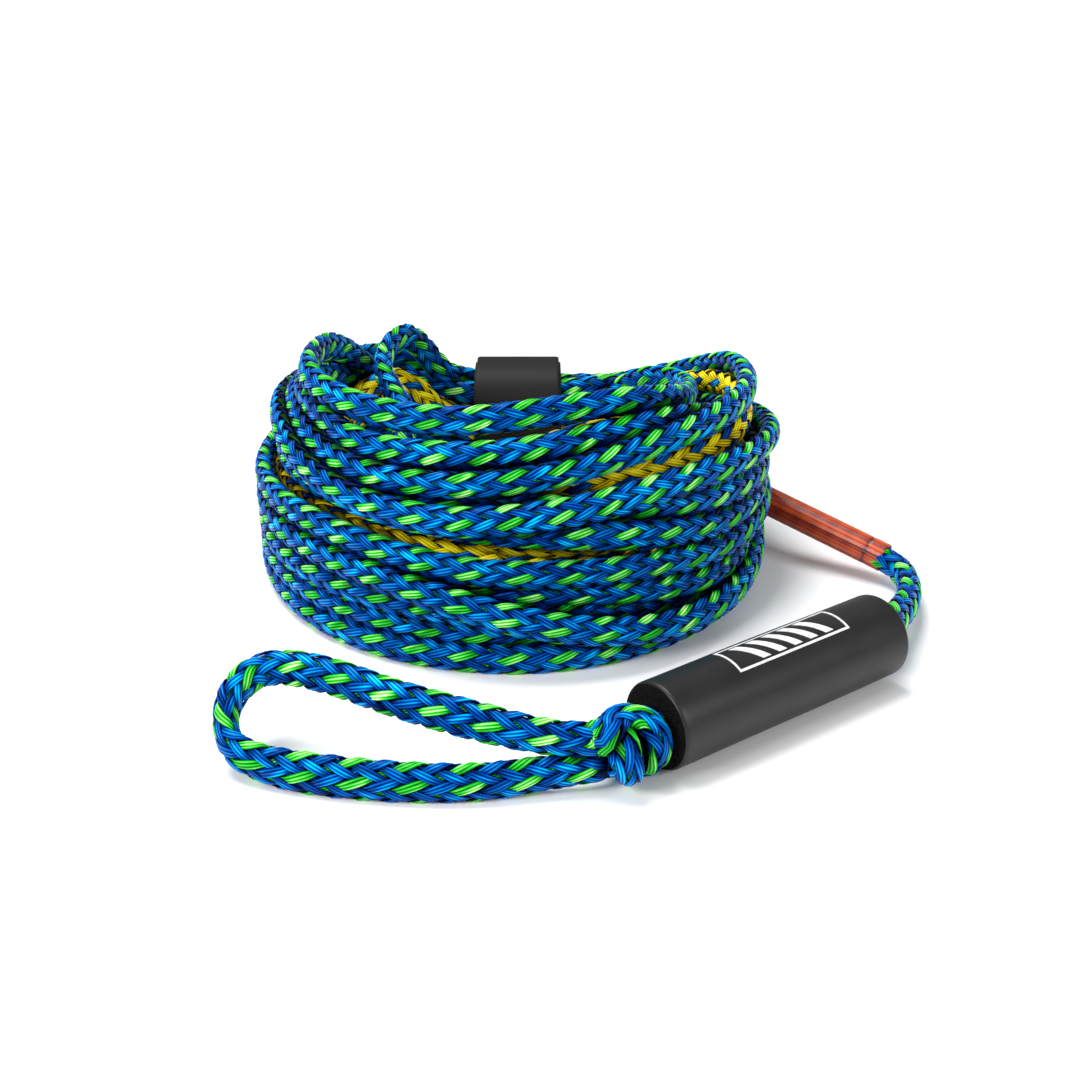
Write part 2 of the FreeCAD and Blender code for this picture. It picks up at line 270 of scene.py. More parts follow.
def new_material(name):
    material = bpy.data.materials.new(name)
    material.use_nodes = True
    return material, material.node_tree.nodes, material.node_tree.links


def shader_of(nodes, roughness, specular=0.3, sheen=0.0):
    shader = nodes["Principled BSDF"]
    shader.inputs["Roughness"].default_value = roughness
    shader.inputs["Specular IOR Level"].default_value = specular
    shader.inputs["Sheen Weight"].default_value = sheen
    return shader


def add_ramp(nodes, stops):
    ramp = nodes.new("ShaderNodeValToRGB")
    elements = ramp.color_ramp.elements
    while len(elements) < len(stops):
        elements.new(0.5)
    for element, (place, colour) in zip(elements, stops):
        element.position = place
        element.color = (*colour, 1)
    return ramp


def add_noise(nodes, links, scale, detail=2.0, stretch=None):
    coordinates = nodes.new("ShaderNodeTexCoord")
    noise = nodes.new("ShaderNodeTexNoise")
    noise.inputs["Scale"].default_value = scale
    noise.inputs["Detail"].default_value = detail
    source = coordinates.outputs["Object"]
    if stretch is not None:
        mapping = nodes.new("ShaderNodeMapping")
        mapping.inputs["Rotation"].default_value = stretch[0]
        mapping.inputs["Scale"].default_value = stretch[1]
        links.new(source, mapping.inputs["Vector"])
        source = mapping.outputs["Vector"]
    links.new(source, noise.inputs["Vector"])
    return noise


def yarn_material(name, dark, middle, light, gloss, roughness=0.34):
    """Glossy braided yarn coloured by its shade attribute: painted shade, down to near-black, in its grooves and gaps,
    and painted highlight, brighter and paler, on its ridges.
    """
    material, nodes, links = new_material(name)
    shader = shader_of(nodes, roughness, 0.13)
    shader.inputs["Specular Tint"].default_value = (*gloss, 1)
    attribute = nodes.new("ShaderNodeAttribute")
    attribute.attribute_name = "shade"
    # stops run from near-black painted shade through the yarn's own colour to a pale painted highlight
    ramp = add_ramp(nodes, [(0.0, tuple(0.15 * c for c in dark)), (0.14, dark), (0.5, middle), (0.88, light)])
    links.new(attribute.outputs["Fac"], ramp.inputs["Fac"])
    links.new(ramp.outputs["Color"], shader.inputs["Base Color"])
    return material


def foam_skin_material():
    material, nodes, links = new_material("foam_skin")
    shader = shader_of(nodes, 0.42, 0.30)
    noise = add_noise(nodes, links, 60.0, 4.0)
    ramp = add_ramp(nodes, [(0.3, (0.009, 0.0085, 0.0085)), (0.7, (0.014, 0.0135, 0.013))])
    links.new(noise.outputs["Fac"], ramp.inputs["Fac"])
    links.new(ramp.outputs["Color"], shader.inputs["Base Color"])
    pores = add_noise(nodes, links, 1400.0, 2.0)
    bump = nodes.new("ShaderNodeBump")
    bump.inputs["Strength"].default_value = 0.12
    bump.inputs["Distance"].default_value = 0.0004
    links.new(pores.outputs["Fac"], bump.inputs["Height"])
    links.new(bump.outputs["Normal"], shader.inputs["Normal"])
    return material


def foam_end_material():
    material, nodes, links = new_material("foam_cut_end")
    shader = shader_of(nodes, 0.9, 0.06)
    noise = add_noise(nodes, links, 900.0, 3.0)
    ramp = add_ramp(nodes, [(0.35, (0.0008, 0.0008, 0.0008)), (0.7, (0.009, 0.0085, 0.008))])
    links.new(noise.outputs["Fac"], ramp.inputs["Fac"])
    links.new(ramp.outputs["Color"], shader.inputs["Base Color"])
    bump = nodes.new("ShaderNodeBump")
    bump.inputs["Strength"].default_value = 0.6
    bump.inputs["Distance"].default_value = 0.0008
    links.new(noise.outputs["Fac"], bump.inputs["Height"])
    links.new(bump.outputs["Normal"], shader.inputs["Normal"])
    return material


def heat_shrink_material():
    """Dark red tube drawn down on the braid, with painted shade in the hollows between its lengthwise ridges and
    painted highlight on the ridges.
    """
    material, nodes, links = new_material("heat_shrink_red")
    shader = shader_of(nodes, 0.33, 0.5)
    attribute = nodes.new("ShaderNodeAttribute")
    attribute.attribute_name = "painted_relief_shade"
    ramp = add_ramp(nodes, [
        (0.15, (0.055, 0.004, 0.001)),
        (0.5, (0.34, 0.030, 0.004)),
        (0.85, (0.66, 0.09, 0.012)),
    ])
    links.new(attribute.outputs["Fac"], ramp.inputs["Fac"])
    links.new(ramp.outputs["Color"], shader.inputs["Base Color"])
    return material


def woven_material(name, dark, light, roughness):
    """Webbing coloured by its weave attribute: painted highlight on the raised threads, painted shade in the hollows
    between them.
    """
    material, nodes, links = new_material(name)
    shader = shader_of(nodes, roughness, 0.2)
    attribute = nodes.new("ShaderNodeAttribute")
    attribute.attribute_name = "weave"
    ramp = add_ramp(nodes, [(0.25, dark), (0.85, light)])
    links.new(attribute.outputs["Fac"], ramp.inputs["Fac"])
    links.new(ramp.outputs["Color"], shader.inputs["Base Color"])
    return material


def webbing_material(name, dark, light, roughness):
    material, nodes, links = new_material(name)
    shader = shader_of(nodes, roughness, 0.22)
    noise = add_noise(nodes, links, 700.0, 2.0)
    ramp = add_ramp(nodes, [(0.3, dark), (0.7, light)])
    links.new(noise.outputs["Fac"], ramp.inputs["Fac"])
    links.new(ramp.outputs["Color"], shader.inputs["Base Color"])
    return material


# ---------------------------------------------------------------- rope's route


def wall_radius(angle, height):
    """The coil's outer radius at each angle and height."""
    angles = np.append(WALL[:, 0], 360)
    at_heights = [np.interp(angle % 360, angles, np.append(WALL[:, c], WALL[0, c])) for c in (1, 2, 3)]
    foot, middle, top = at_heights
    low, waist, high = WALL_HEIGHTS
    lower = np.clip((height - low) / (waist - low), 0, 1)
    upper = np.clip((height - waist) / (high - waist), 0, 1)
    return foot + (middle - foot) * lower + (top - middle) * upper**1.3


def coil_plan(turns, first_turn, start, count):
    """Planned points along a stretch of the coil, and how far round the coil each is."""
    steps = int(round(count * POINTS_PER_TURN)) + 1
    position = start + np.arange(steps) * 360 / POINTS_PER_TURN
    stations = np.array([
        ((first_turn + i) * 360 + angle, height, inset)
        for i, turn in enumerate(turns)
        for angle, height, inset in turn
    ], float)
    z = np.interp(position, stations[:, 0], stations[:, 1])
    inset = np.interp(position, stations[:, 0], stations[:, 2])
    for _ in range(3):
        for values in (z, inset):
            values[1:-1] = 0.25 * values[:-2] + 0.5 * values[1:-1] + 0.25 * values[2:]
    radius = wall_radius(position, z) - 7.5 - inset
    a = np.radians(position)
    points = np.stack([RING[0] + radius * np.cos(a), RING[1] + radius * np.sin(a), z], 1)
    return points, position, inset


def bundle_places(count):
    """Places in the tied bundle, in rows of four from the foot up."""
    rows = math.ceil(count / 4)
    spots = []
    for row in range(rows):
        for column in range(4):
            shift = 0.5 * (row % 2) - 0.25
            spots.append(((column - 1.5 + shift) * 13.4, (row - (rows - 1) / 2) * 14.6))
    return spots


def gather_bundle(points, position):
    """Draws every pass through the strap to a place of its own in the bundle."""
    local = (position - 90 + 180) % 360 - 180
    pass_number = np.round((position - 90) / 360).astype(int)
    passes = sorted(set(pass_number[np.abs(local) < 60]))
    at_strap = {}
    for n in passes:
        near = np.where((pass_number == n) & (np.abs(local) < 60))[0]
        middle = near[np.argmin(np.abs(local[near]))]
        at_strap[n] = points[middle]
    spots = bundle_places(len(passes))
    by_height = sorted(passes, key=lambda n: at_strap[n][2])
    for row in range(math.ceil(len(passes) / 4)):
        group = by_height[row * 4:row * 4 + 4]
        group.sort(key=lambda n: np.hypot(*(at_strap[n][:2] - RING)))
        for n, (across, up) in zip(group, spots[row * 4:row * 4 + 4]):
            near = np.where((pass_number == n) & (np.abs(local) < 60))[0]
            reach = np.interp(points[near, 2], [88, 112], [52, 30])
            w = 1 - smooth(np.abs(local[near]), 13, reach)
            a = np.radians(position[near])
            out = np.stack([np.cos(a), np.sin(a)], 1)
            # the strap holds the bundle straight, so the radius grows away from its middle
            radius = (145.0 + across) / np.maximum(np.cos(np.radians(np.clip(local[near], -16, 16))), 0.5)
            target = np.column_stack([RING + out * radius[:, None], np.full(len(near), STRAP_CENTRE[2] + up)])
            points[near] += (target - points[near]) * w[:, None]
    return points


def push_apart(points, radii, ease, rounds=130):
    """Moves the coil's points until no two stretches of rope lie in each other. Ease is
    how readily each point gives way, and 0 holds it."""
    home = points.copy()
    movable = ease > 0
    pairs = None
    for step in range(rounds):
        if step % 12 == 0:
            found = []
            for first in range(0, len(points), 400):
                block = points[first:first + 400]
                gap = np.linalg.norm(block[:, None] - points[None], axis=2)
                near = gap < radii[first:first + 400, None] + radii[None] + 5
                i, j = np.nonzero(near)
                i = i + first
                keep = j - i > 5
                found.append(np.stack([i[keep], j[keep]], 1))
            pairs = np.concatenate(found)
        i, j = pairs[:, 0], pairs[:, 1]
        apart = points[i] - points[j]
        gap = np.maximum(np.linalg.norm(apart, axis=1), 1e-6)
        overlap = np.maximum(radii[i] + radii[j] - gap, 0)
        push = apart / gap[:, None] * overlap[:, None]
        share = (ease[i] / np.maximum(ease[i] + ease[j], 1e-6))[:, None]
        moved = np.zeros_like(points)
        hits = np.zeros(len(points))
        np.add.at(moved, i, push * share)
        np.add.at(moved, j, -push * (1 - share))
        np.add.at(hits, i, overlap > 0)
        np.add.at(hits, j, overlap > 0)
        points = points + moved / np.maximum(hits, 1)[:, None] * 0.9 * movable[:, None]
        shift = points - home
        for _ in range(2):
            inner = 0.25 * shift[:-2] + 0.5 * shift[1:-1] + 0.25 * shift[2:]
            shift[1:-1] = np.where(movable[1:-1, None], inner, shift[1:-1])
        points = home + shift * 0.995
        points[:, 2] = np.maximum(points[:, 2], np.where(movable, ROPE_FLOOR, points[:, 2]))
        points = keep_in_strap(points, movable)
    return points


def keep_in_strap(points, movable):
    """Holds what passes through the strap inside its rounded rectangle."""
    inside = movable & (np.abs(points[:, 0] - STRAP_CENTRE[0]) < 40) & (points[:, 1] > STRAP_CENTRE[1] - 60)
    p = points[inside] - STRAP_CENTRE
    limit_y = STRAP_HALF_DEPTH - 8.2
    limit_z = STRAP_HALF_HEIGHT - 8.2
    corner = STRAP_CORNER - 8.2
    box = np.array([limit_y - corner, limit_z - corner])
    yz = p[:, 1:]
    nearest = np.clip(yz, -box, box)
    away = yz - nearest
    far = np.linalg.norm(away, axis=1)
    scale = np.where(far > corner, corner / np.maximum(far, 1e-6), 1.0)
    p[:, 1:] = nearest + away * scale[:, None]
    points[inside] = STRAP_CENTRE + p
    return points


def knot_points():
    """The knot's wraps, from the loop's upper leg to the float."""
    side = np.array([FLOAT_AXIS[1], -FLOAT_AXIS[0], 0.0])
    up = np.array([0.0, 0.0, 1.0])
    points = []
    for along, angle, distance in KNOT_WRAPS:
        a = math.radians(angle)
        points.append(KNOT_CENTRE + FLOAT_AXIS * along + (up * math.cos(a) + side * math.sin(a)) * distance)
    return points


def rope_routes():
    """Control points of the blue rope, from the loop's end, and of the yellow rope."""
    blue, blue_at, blue_inset = coil_plan(BLUE_TURNS, 0, COIL_START, BLUE_TURN_COUNT)
    yellow_from = COIL_START + (BLUE_TURN_COUNT * POINTS_PER_TURN + 1) * 360 / POINTS_PER_TURN
    yellow, yellow_at, yellow_inset = coil_plan(YELLOW_TURNS, 14, yellow_from, YELLOW_TURN_COUNT)
    coil = np.concatenate([blue, yellow])
    at = np.concatenate([blue_at, yellow_at])
    inset = np.concatenate([blue_inset, yellow_inset])
    coil = gather_bundle(coil, at)
    lead = np.array(LEAD_ROUTE, float)
    spots = np.linspace(0, SLEEVE_LENGTH, 10)
    sleeve = SLEEVE_FRONT + SLEEVE_AXIS * spots[:, None]
    fine_lead = np.concatenate([np.linspace(a, b, 4)[:-1] for a, b in zip([SLEEVE_BACK, *lead], lead)])
    eye = np.array(EYE_ROUTE, float)
    fine_eye = np.concatenate([np.linspace(a, b, 4)[:-1] for a, b in zip(eye, eye[1:])])
    fixed_before = np.concatenate([sleeve, fine_lead])
    everything = np.concatenate([fixed_before, coil, fine_eye])
    ease = np.zeros(len(everything))
    first = len(fixed_before)
    ease[first + 2:first + len(coil) - 2] = np.interp(inset, [4, 12], [0.3, 1.0])[2:-2]
    radii = np.full(len(everything), ROPE_GAP / 2)
    radii[:len(sleeve)] = SLEEVE_R + 0.5
    settled = push_apart(everything, radii, ease)
    coil = settled[first:first + len(coil)]
    blue_coil = coil[:len(blue)]
    yellow_coil = coil[len(blue):]
    blue_route = np.concatenate([
        [KNOT_CENTRE + FLOAT_AXIS * 2 + np.array([0, 0, -6.0])],
        [(8, -241.5, 13.5)],
        LOOP_ROUTE,
        [(5, -243, 31)],
        knot_points(),
        [FLOAT_FRONT + FLOAT_AXIS * 30, FLOAT_BACK - FLOAT_AXIS * 30, FLOAT_BACK + FLOAT_AXIS * 11.3],
        BEND_ROUTE[::-1],
        [SLEEVE_FRONT + SLEEVE_AXIS * 30, SLEEVE_BACK - SLEEVE_AXIS * 25],
        LEAD_ROUTE,
        blue_coil[POINTS_PER_CONTROL::POINTS_PER_CONTROL],
    ])
    yellow_route = np.concatenate([yellow_coil[::POINTS_PER_CONTROL], eye])
    return blue_route, yellow_route


def centreline(name, route):
    """Points along the smooth line of a route, close together, by way of its spline."""
    curve = bpy.data.curves.new(name, "CURVE")
    curve.dimensions = "3D"
    spline = curve.splines.new("NURBS")
    spline.points.add(len(route) - 1)
    for point, place in zip(spline.points, route):
        point.co = (*(np.asarray(place) * MM), 1)
    spline.order_u = 3
    spline.use_endpoint_u = True
    spline.resolution_u = 16
    holder = bpy.data.objects.new(name, curve)
    bpy.context.scene.collection.objects.link(holder)
    mesh = bpy.data.meshes.new_from_object(holder)
    line = np.array([v.co for v in mesh.vertices], float) / MM
    bpy.data.objects.remove(holder)
    bpy.data.meshes.remove(mesh)
    gaps = np.linalg.norm(np.diff(line, axis=0), axis=1)
    line = line[np.append(True, gaps > 1e-6)]
    run = np.append(0, np.cumsum(np.linalg.norm(np.diff(line, axis=0), axis=1)))
    s = np.linspace(0, run[-1], int(run[-1] / STEP) + 1)
    return np.stack([np.interp(s, run, line[:, k]) for k in range(3)], 1), s


# ---------------------------------------------------------------- rope's surface


def section_angle(share, flatness):
    """Angle on an ellipse at a share of its perimeter, so that strands keep their width."""
    t = np.linspace(0, 2 * math.pi, 241)
    lengths = []
    for f in (1.0, 0.5):
        step = np.hypot(np.diff(np.cos(t)), np.diff(np.sin(t)) * f)
        lengths.append(np.append(0, np.cumsum(step)) / step.sum())
    round_angle = share * 2 * math.pi
    flat_angle = np.interp(share % 1.0, lengths[1], t) + np.floor(share) * 2 * math.pi
    blend = np.clip((1 - flatness) / 0.5, 0, 1)
    return round_angle * (1 - blend) + flat_angle * blend


class Rope:
    """A rope's centreline with the size and the lie of its section at each point."""

    def __init__(self, line, s, wide, thick, wide_axis, seed):
        self.line = line
        self.s = s
        self.wide = wide
        self.thick = thick
        tangent = unit(np.gradient(line, axis=0))
        across = unit(wide_axis - tangent * (wide_axis * tangent).sum(1)[:, None])
        tilt = np.radians(20) * wander(s, 700.0, seed)
        self.tangent = tangent
        self.across = rotation_about(tangent, tilt, across)
        self.normal = np.cross(tangent, self.across)
        self.phase = 0.08 * wander(s, 900.0, seed + 3)

    def surface(self, share, lift):
        """Points and outward normals at a share of the perimeter, lift off the middle of
        the braid's thickness."""
        flatness = self.thick / self.wide
        a = section_angle(share + self.phase, flatness)
        c, n = np.cos(a)[:, None], np.sin(a)[:, None]
        w, t = self.wide[:, None], self.thick[:, None]
        point = self.line + self.across * c * w + self.normal * n * t
        outward = unit(self.across * c * t + self.normal * n * w)
        return point + outward * lift[:, None], outward

    def strand(self, family, number):
        """The rings of one strand: a flat bundle of yarns that goes over and under, and its shade at each point, where
        the yarns' own random tone is mixed with painted shade and painted highlight.
        """
        way = 1 if family == "across" else -1
        share = number / STRANDS + way * self.s / LAY
        if family == "across":
            share = share + 0.5 / STRANDS
        over = np.cos(8 * math.pi * share) + 0.15
        wave = np.tanh(1.7 * over)
        lift = 1.05 * wave * (1 if family == "flecked" else -1)
        middle, outward = self.surface(share, lift)
        forward = unit(np.gradient(middle, axis=0))
        side = np.cross(outward, forward)
        outer = np.maximum(lift, 0)[:, None]
        half = 1.95 + 0.75 * outer
        rings = []
        shades = []
        drift = wander(self.s, 70.0, number * 3.1 + (11 if family == "across" else 0))
        # painted shade on the side of the strand that other stretches of rope lie against
        toward = (self.near * outward[:, None]).sum(2).max(1)
        contact_shade = smooth(toward, 0.40, 0.92)
        for k, (x, y, shade) in enumerate(YARN_SECTION):
            rings.append(middle + side * (x * half) + outward * (y * (0.74 + 0.20 * outer)))
            yarn = wander(self.s, 38.0, number * 1.7 + k * 2.3)
            # random tone along the strand and each yarn, then painted shade where the strand dives under the others and
            # where other rope lies against it
            shades.append(shade + 0.18 * drift + 0.24 * yarn - 0.34 * (1 - outer[:, 0]) - 0.75 * contact_shade)
        return np.stack(rings, 1), np.stack(shades, 1)


def note_neighbours(ropes, count=12):
    """Notes for every point of each rope which way other stretches of rope lie against
    it, as vectors that shorten from 1 to 0 as the neighbour gets further away."""
    spots = np.concatenate([rope.line[::3] for rope in ropes])
    runs = np.concatenate([rope.s[::3] + 1e6 * k for k, rope in enumerate(ropes)])
    for k, rope in enumerate(ropes):
        near = []
        for first in range(0, len(rope.s), 400):
            block = rope.line[first:first + 400]
            own = rope.s[first:first + 400, None] + 1e6 * k
            gap = np.linalg.norm(spots[None] - block[:, None], axis=2)
            gap = np.where(np.abs(runs[None] - own) < 45, 1e3, gap)
            pick = np.argpartition(gap, count, axis=1)[:, :count]
            distance = np.take_along_axis(gap, pick, 1)
            way = (spots[pick] - block[:, None]) / distance[..., None]
            near.append(way * (1 - smooth(distance, 15.0, 27.0))[..., None])
        rope.near = np.concatenate(near)


# Across and up, as shares of a strand's half width and of its thickness, and brightness, which is painted light:
# painted highlight on the three ridges, painted shade in the grooves between them, at the edges and underneath
YARN_SECTION = [
    (-1.0, -0.25, 0.05),
    (-0.70, 0.80, 0.64),
    (-0.36, 0.50, 0.14),
    (0.0, 1.0, 0.72),
    (0.36, 0.50, 0.14),
    (0.70, 0.80, 0.64),
    (1.0, -0.25, 0.05),
    (0.0, -1.0, 0.0),
]


def strand_mesh(rope, strands):
    vertices, faces, shades = [], [], []
    first = 0
    for family, number in strands:
        rings, shade = rope.strand(family, number)
        count, sides = rings.shape[:2]
        vertices.append(rings.reshape(-1, 3))
        shades.append(shade.reshape(-1))
        faces.append(tube_faces(count, sides, first))
        first += count * sides
    return np.concatenate(vertices), np.concatenate(faces), np.concatenate(shades)


def core_mesh(rope, shrink=2.1, every=3, sides=14):
    """The inside of the braid, seen only between strands; its near-black colour is painted shade for the gaps between
    them.
    """
    pick = np.arange(0, len(rope.s), every)
    rings = []
    for k in range(sides):
        a = 2 * math.pi * k / sides
        w = (rope.wide - shrink)[pick, None]
        t = (rope.thick - shrink)[pick, None]
        rings.append(rope.line[pick] + rope.across[pick] * math.cos(a) * w + rope.normal[pick] * math.sin(a) * t)
    rings = np.stack(rings, 1)
    return rings.reshape(-1, 3), tube_faces(len(pick), sides), np.full(rings.shape[0] * sides, 0.2)


def stretch(points, s, start, end):
    """How far along a line a point is nearest to each of two places."""
    return [s[np.argmin(np.linalg.norm(points - np.asarray(p), axis=1))] for p in (start, end)]


def blue_rope(route):
    line, s = centreline("main_rope_line", route)
    near_knot = np.linalg.norm(line - KNOT_CENTRE, axis=1)
    first_half = s < 900
    knot_s = s[first_half & (near_knot < 21)]
    loop_top = s[np.argmin(np.linalg.norm(line - np.array([-199, -212, 26]), axis=1))]
    knot_in = knot_s[knot_s > loop_top].min()
    knot_out = knot_s[knot_s > loop_top].max()
    bore_in, bore_out = stretch(line, s, FLOAT_FRONT, FLOAT_BACK)
    sleeve_in, sleeve_out = stretch(line, s, SLEEVE_FRONT, SLEEVE_BACK)
    coil_in = sleeve_out + 90
    print("blue rope", round(s[-1]), "loop top", round(loop_top), "knot", round(knot_in), round(knot_out),
          "bore", round(bore_in), round(bore_out), "sleeve", round(sleeve_in), round(sleeve_out))
    # half width and half thickness of the braid's middle at each place along it
    places = [0, 60, 180, loop_top, knot_in - 60, knot_in + 10, knot_out - 10, bore_in + 15, bore_out - 12,
              bore_out + 20, sleeve_in - 30, sleeve_in + 3, sleeve_out - 3, sleeve_out + 40, coil_in + 60, s[-1]]
    wide = [6.5, 8.8, 9.8, 7.6, 8.9, 8.2, 7.6, 7.4, 7.4, 9.0, 8.8, 6.4, 6.4, 8.2, 7.7, 7.7]
    thick = [4.5, 5.0, 4.6, 5.2, 4.6, 4.6, 4.8, 6.9, 6.9, 6.6, 6.2, 6.3, 6.3, 5.3, 5.0, 5.0]
    wide = np.interp(s, places, wide)
    thick = np.interp(s, places, thick)
    swell = 1 + 0.05 * wander(s, 260.0, 5)
    upright = np.tile([0.0, 0.0, 1.0], (len(s), 1))
    in_knot = smooth(s, knot_in - 12, knot_in + 12) * (1 - smooth(s, knot_out - 25, knot_out))
    # in the knot the flat braid lies on the turns below it
    flat = unit(np.cross(np.gradient(line, axis=0), line - KNOT_CENTRE))
    inside = np.where(in_knot > 0)[0]
    before = upright[0]
    for k in inside:
        flat[k] *= 1 if flat[k] @ before >= 0 else -1
        before = flat[k]
    upright[inside[len(inside) // 2]:] *= 1 if before[2] >= 0 else -1
    axis = upright * (1 - in_knot)[:, None] + flat * in_knot[:, None]
    lean = smooth(s, 60, 160) * (1 - smooth(s, knot_in - 90, knot_in - 30))
    axis = axis + np.array([0.0, 0.35, 0.0]) * lean[:, None]
    return Rope(line, s, wide * swell, thick * (2 - swell), axis, 1)


def yellow_rope(route):
    line, s = centreline("boat_rope_line", route)
    swell = 1 + 0.05 * wander(s, 260.0, 2)
    upright = np.tile([0.0, 0.0, 1.0], (len(s), 1))
    end = smooth(s, s[-1] - 60, s[-1])
    return Rope(line, s, (7.6 - 1.6 * end) * swell, (5.0 - 0.8 * end) * (2 - swell), upright, 7)


def flecked(odd):
    """The strands of the two colours: every other strand of one family is flecked."""
    flecks = [("flecked", k) for k in range(0, STRANDS, 2)]
    ground = [("flecked", k) for k in range(1, STRANDS, 2)] + [("across", k) for k in range(STRANDS)]
    return flecks if odd else ground


def build_rope(rope, name, ground, flecks, core, body, nodes):
    pieces = {}
    for part, material, (vertices, faces, shades) in (
        ("braid", ground, strand_mesh(rope, flecked(False))),
        ("flecks", flecks, strand_mesh(rope, flecked(True))),
        ("core", core, core_mesh(rope)),
    ):
        piece = mesh_object(f"{name}_{part}", vertices, faces, [material])
        attribute = piece.data.attributes.new("shade", "FLOAT", "POINT")
        attribute.data.foreach_set("value", np.clip(shades, 0, 1).astype(np.float32))
        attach(piece, body)
        pieces[part] = piece
    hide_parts(*nodes)
    return pieces


# ---------------------------------------------------------------- float, sleeve, strap


def lathe(profile, base, axis, sides, roughen=None):
    """Rings of a turned shape: profile is (distance along the axis, radius) points."""
    side = unit(np.cross(axis, [0.0, 0.0, 1.0]))
    up = np.cross(side, axis)
    a = np.arange(sides) * 2 * math.pi / sides
    rings = []
    for row, (along, radius) in enumerate(profile):
        r = np.full(sides, float(radius))
        if roughen is not None:
            r = r + roughen(along, a, radius)
        rings.append(base + axis * along + np.cos(a)[:, None] * up * r[:, None] + np.sin(a)[:, None] * side * r[:, None])
    return np.stack(rings)


def rounded_corner(centre, radius, start, end, count=7):
    """Points of an arc in a profile, with angles in degrees from the axis."""
    angles = np.radians(np.linspace(start, end, count))
    return [(centre[0] + radius * math.cos(t), centre[1] + radius * math.sin(t)) for t in angles]


def build_float(skin, end):
    edge = 2.6
    mouth = 1.2
    profile = [(14.0, FLOAT_BORE_R), (mouth, FLOAT_BORE_R), (0.25, FLOAT_BORE_R + mouth)]
    profile += [(0.0 + 0.12 * math.sin(r * 2.1), r) for r in np.linspace(FLOAT_BORE_R + 2, FLOAT_R - edge, 12)]
    profile += rounded_corner((edge, FLOAT_R - edge), edge, 180, 90)
    profile += [(x, FLOAT_R) for x in np.linspace(6, FLOAT_LENGTH - 6, 60)]
    profile += rounded_corner((FLOAT_LENGTH - edge, FLOAT_R - edge), edge, 90, 0)
    back = [(FLOAT_LENGTH, r) for r in np.linspace(FLOAT_R - edge, FLOAT_BORE_R + 2, 12)]
    profile += back + [(FLOAT_LENGTH - 0.25, FLOAT_BORE_R + mouth), (FLOAT_LENGTH - mouth, FLOAT_BORE_R)]
    profile += [(FLOAT_LENGTH - 14.0, FLOAT_BORE_R), (FLOAT_LENGTH / 2, FLOAT_BORE_R)]

    def uneven(along, a, radius):
        if radius < FLOAT_R - 1:
            return 0.0 * a
        return 0.10 * np.sin(2 * a + along * 0.03) + 0.06 * np.sin(3 * a - along * 0.05 + 1) - 0.1

    sides = 128
    rings = lathe(profile, FLOAT_FRONT, FLOAT_AXIS, sides, uneven)
    count = len(profile)
    faces = tube_faces(count, sides)
    closing = np.stack([
        (count - 1) * sides + np.arange(sides),
        (count - 1) * sides + (np.arange(sides) + 1) % sides,
        (np.arange(sides) + 1) % sides,
        np.arange(sides),
    ], 1)
    faces = np.concatenate([faces, closing])
    radius_of_row = np.array([r for _, r in profile])
    row = np.repeat(np.arange(count), sides)[:len(faces)]
    material = np.where(radius_of_row[np.minimum(row, count - 1)] < FLOAT_R - 1.6, 1, 0)
    piece = mesh_object("foam_float_body", rings.reshape(-1, 3), faces, [skin, end], material)
    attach(piece, "float")
    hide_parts("foam_float")
    return piece


def print_material():
    material, nodes, links = new_material("print_white")
    shader = shader_of(nodes, 0.5, 0.3)
    noise = add_noise(nodes, links, 500.0, 3.0)
    ramp = add_ramp(nodes, [(0.3, (0.50, 0.50, 0.51)), (0.6, (0.72, 0.72, 0.73))])
    links.new(noise.outputs["Fac"], ramp.inputs["Fac"])
    links.new(ramp.outputs["Color"], shader.inputs["Base Color"])
    return material


def print_strip(corners, columns, rows):
    """A thin closed patch on the float. Corners are (along, arc) in order round it."""
    a, b, c, d = np.array(corners, float)
    u = np.linspace(0, 1, columns)[None, :, None]
    v = np.linspace(0, 1, rows)[:, None, None]
    flat = (a * (1 - u) + b * u) * (1 - v) + (d * (1 - u) + c * u) * v
    side = np.array([FLOAT_AXIS[1], -FLOAT_AXIS[0], 0.0])
    turn = (flat[..., 1] / FLOAT_R)[..., None]
    outward = np.array([0.0, 0.0, 1.0]) * np.cos(turn) + side * np.sin(turn)
    spine = FLOAT_FRONT + FLOAT_AXIS * flat[..., :1]
    skin = [spine + outward * (FLOAT_R + rise) for rise in (0.16, -0.5)]
    vertices = np.concatenate([layer.reshape(-1, 3) for layer in skin])
    index = np.arange(rows * columns).reshape(rows, columns)
    top = np.stack([index[:-1, :-1], index[:-1, 1:], index[1:, 1:], index[1:, :-1]], -1).reshape(-1, 4)
    rim = np.concatenate([index[0, :-1], index[:-1, -1], index[-1, :0:-1], index[:0:-1, 0]])
    nxt = np.roll(rim, -1)
    below = rows * columns
    wall = np.stack([nxt, rim, rim + below, nxt + below], 1)
    return vertices, np.concatenate([top, top[:, ::-1] + below, wall])


